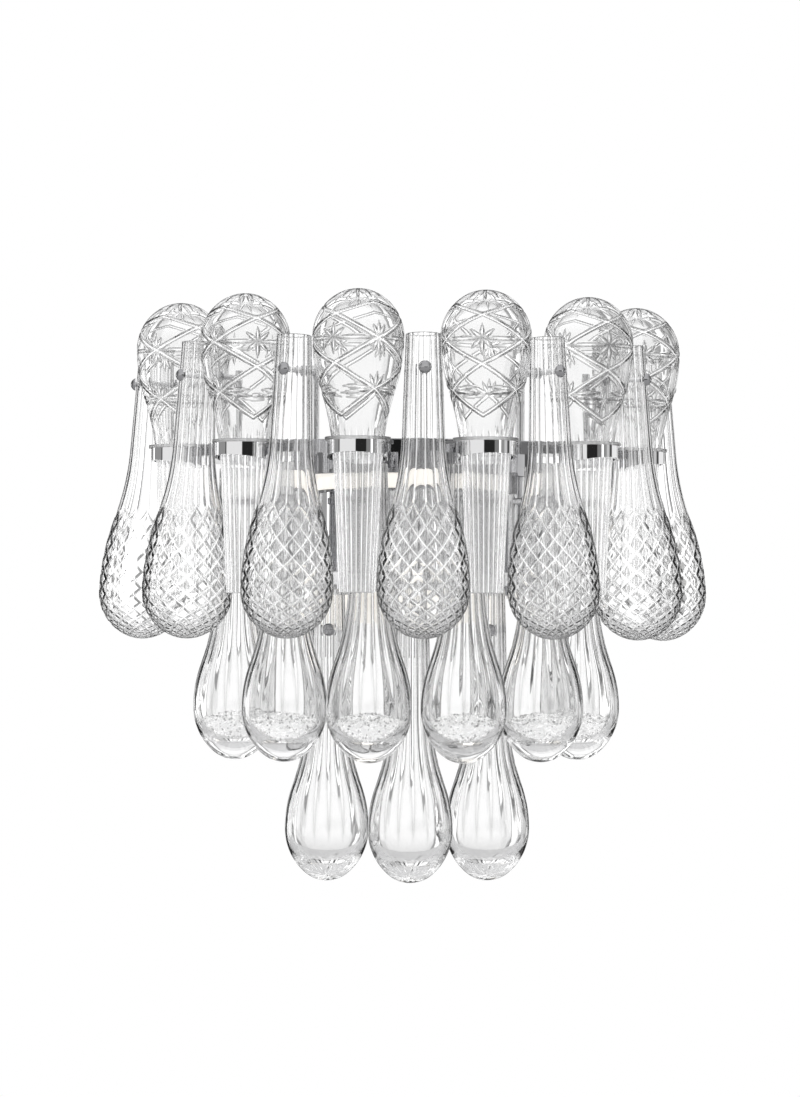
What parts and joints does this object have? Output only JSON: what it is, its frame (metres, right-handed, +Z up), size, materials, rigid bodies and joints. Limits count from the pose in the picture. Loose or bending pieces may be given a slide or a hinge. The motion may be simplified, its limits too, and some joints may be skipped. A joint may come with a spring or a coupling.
{
  "type": "crystal wall sconce",
  "caption": "Half-round wall light with tiers of hollow cut-crystal drops on a polished chrome frame with opal light slabs.",
  "frame": {"origin": "centre of the wall crossbar's screw slots, on the wall plane", "axes": "+Z up, +Y into the wall, -Y out of the wall, +X to the right as seen from the room"},
  "size_m": [0.426, 0.2447, 0.3957],
  "materials": {
    "chrome": "polished",
    "steel": "zinc plated",
    "driver_case": "moulded",
    "terminal_plastic": "moulded",
    "opal": "opal, lit",
    "clear_ring": "clear silicone",
    "diamond_crystal": "polished, diamond cut",
    "star_crystal": "polished, star cut",
    "fluted_crystal": "polished, fluted",
    "crystal_granules": "crushed"
  },
  "bodies": {
    "root": {"back_dish": "chrome", "cap_nuts": "chrome", "core_housing": "chrome", "upper_tray": "chrome", "upper_closing_plate": "chrome", "upper_heat_sink": "chrome", "light_rim_plate": "chrome", "side_columns": "chrome", "column_nuts": "chrome", "mid_tray": "chrome", "mid_closing_plate": "chrome", "lower_heat_sink": "chrome", "upper_posts": "chrome", "mid_posts": "chrome", "low_posts": "chrome", "hanging_rods": "chrome", "ball_nuts": "chrome", "stop_nuts": "chrome", "collar_screws": "chrome", "collar_1": "chrome", "collar_2": "chrome", "collar_3": "chrome", "collar_4": "chrome", "collar_5": "chrome", "collar_6": "chrome", "wall_crossbar": "steel", "led_driver": "driver_case", "terminal_block": "terminal_plastic", "upper_light_slab": "opal", "lower_light_slab": "opal", "collar_seat_rings": "clear_ring"},
    "diamond_drop_1": {"diamond_drop_1": "diamond_crystal"},
    "diamond_drop_2": {"diamond_drop_2": "diamond_crystal"},
    "diamond_drop_3": {"diamond_drop_3": "diamond_crystal"},
    "diamond_drop_4": {"diamond_drop_4": "diamond_crystal"},
    "diamond_drop_5": {"diamond_drop_5": "diamond_crystal"},
    "diamond_drop_6": {"diamond_drop_6": "diamond_crystal"},
    "diamond_drop_7": {"diamond_drop_7": "diamond_crystal"},
    "star_drop_1": {"star_drop_1": "star_crystal"},
    "star_drop_2": {"star_drop_2": "star_crystal"},
    "star_drop_3": {"star_drop_3": "star_crystal"},
    "star_drop_4": {"star_drop_4": "star_crystal"},
    "star_drop_5": {"star_drop_5": "star_crystal"},
    "star_drop_6": {"star_drop_6": "star_crystal"},
    "mid_drop_1": {"mid_drop_1": "fluted_crystal", "granule_bed_1": "crystal_granules"},
    "mid_drop_2": {"mid_drop_2": "fluted_crystal", "granule_bed_2": "crystal_granules"},
    "mid_drop_3": {"mid_drop_3": "fluted_crystal", "granule_bed_3": "crystal_granules"},
    "mid_drop_4": {"mid_drop_4": "fluted_crystal", "granule_bed_4": "crystal_granules"},
    "mid_drop_5": {"mid_drop_5": "fluted_crystal", "granule_bed_5": "crystal_granules"},
    "mid_drop_6": {"mid_drop_6": "fluted_crystal", "granule_bed_6": "crystal_granules"},
    "low_drop_1": {"low_drop_1": "fluted_crystal"},
    "low_drop_2": {"low_drop_2": "fluted_crystal"},
    "low_drop_3": {"low_drop_3": "fluted_crystal"}
  },
  "joints": [
    {"name": "diamond_drop_1_swing", "type": "hinge", "parent": "root", "child": "diamond_drop_1", "pos_m": [-0.1753, -0.038, 0.0973], "axis": [-1, 0, 0], "range_deg": [-1, 1]},
    {"name": "diamond_drop_2_swing", "type": "hinge", "parent": "root", "child": "diamond_drop_2", "pos_m": [-0.14636, -0.1225, 0.0973], "axis": [-0.866, -0.5, 0], "range_deg": [-1, 1]},
    {"name": "diamond_drop_3_swing", "type": "hinge", "parent": "root", "child": "diamond_drop_3", "pos_m": [-0.0845, -0.18436, 0.0973], "axis": [-0.5, -0.866, 0], "range_deg": [-1, 1]},
    {"name": "diamond_drop_4_swing", "type": "hinge", "parent": "root", "child": "diamond_drop_4", "pos_m": [0, -0.207, 0.0973], "axis": [0, -1, 0], "range_deg": [-1, 1]},
    {"name": "diamond_drop_5_swing", "type": "hinge", "parent": "root", "child": "diamond_drop_5", "pos_m": [0.0845, -0.18436, 0.0973], "axis": [0.5, -0.866, 0], "range_deg": [-1, 1]},
    {"name": "diamond_drop_6_swing", "type": "hinge", "parent": "root", "child": "diamond_drop_6", "pos_m": [0.14636, -0.1225, 0.0973], "axis": [0.866, -0.5, 0], "range_deg": [-1, 1]},
    {"name": "diamond_drop_7_swing", "type": "hinge", "parent": "root", "child": "diamond_drop_7", "pos_m": [0.1753, -0.038, 0.0973], "axis": [1, 0, 0], "range_deg": [-1, 1]},
    {"name": "star_drop_1_lift", "type": "slide", "parent": "root", "child": "star_drop_1", "axis": [0, 0, 1], "range_m": [0, 0.105]},
    {"name": "star_drop_2_lift", "type": "slide", "parent": "root", "child": "star_drop_2", "axis": [0, 0, 1], "range_m": [0, 0.105]},
    {"name": "star_drop_3_lift", "type": "slide", "parent": "root", "child": "star_drop_3", "axis": [0, 0, 1], "range_m": [0, 0.105]},
    {"name": "star_drop_4_lift", "type": "slide", "parent": "root", "child": "star_drop_4", "axis": [0, 0, 1], "range_m": [0, 0.105]},
    {"name": "star_drop_5_lift", "type": "slide", "parent": "root", "child": "star_drop_5", "axis": [0, 0, 1], "range_m": [0, 0.105]},
    {"name": "star_drop_6_lift", "type": "slide", "parent": "root", "child": "star_drop_6", "axis": [0, 0, 1], "range_m": [0, 0.105]},
    {"name": "mid_drop_1_swing", "type": "hinge", "parent": "root", "child": "mid_drop_1", "pos_m": [-0.11849, -0.06975, 0.0148], "axis": [-0.9659, -0.2588, 0], "range_deg": [-1.5, 1.5]},
    {"name": "mid_drop_2_swing", "type": "hinge", "parent": "root", "child": "mid_drop_2", "pos_m": [-0.08674, -0.12474, 0.0148], "axis": [-0.7071, -0.7071, 0], "range_deg": [-1.5, 1.5]},
    {"name": "mid_drop_3_swing", "type": "hinge", "parent": "root", "child": "mid_drop_3", "pos_m": [-0.03175, -0.15649, 0.0148], "axis": [-0.2588, -0.9659, 0], "range_deg": [-1.5, 1.5]},
    {"name": "mid_drop_4_swing", "type": "hinge", "parent": "root", "child": "mid_drop_4", "pos_m": [0.03175, -0.15649, 0.0148], "axis": [0.2588, -0.9659, 0], "range_deg": [-1.5, 1.5]},
    {"name": "mid_drop_5_swing", "type": "hinge", "parent": "root", "child": "mid_drop_5", "pos_m": [0.08674, -0.12474, 0.0148], "axis": [0.7071, -0.7071, 0], "range_deg": [-1.5, 1.5]},
    {"name": "mid_drop_6_swing", "type": "hinge", "parent": "root", "child": "mid_drop_6", "pos_m": [0.11849, -0.06975, 0.0148], "axis": [0.9659, -0.2588, 0], "range_deg": [-1.5, 1.5]},
    {"name": "low_drop_1_swing", "type": "hinge", "parent": "root", "child": "low_drop_1", "pos_m": [-0.05535, -0.0768, -0.0733], "axis": [0, -1, 0], "range_deg": [-1.5, 1.5]},
    {"name": "low_drop_2_swing", "type": "hinge", "parent": "root", "child": "low_drop_2", "pos_m": [0, -0.10561, -0.0733], "axis": [0, -1, 0], "range_deg": [-1.5, 1.5]},
    {"name": "low_drop_3_swing", "type": "hinge", "parent": "root", "child": "low_drop_3", "pos_m": [0.05535, -0.0768, -0.0733], "axis": [0, -1, 0], "range_deg": [-1.5, 1.5]}
  ]
}
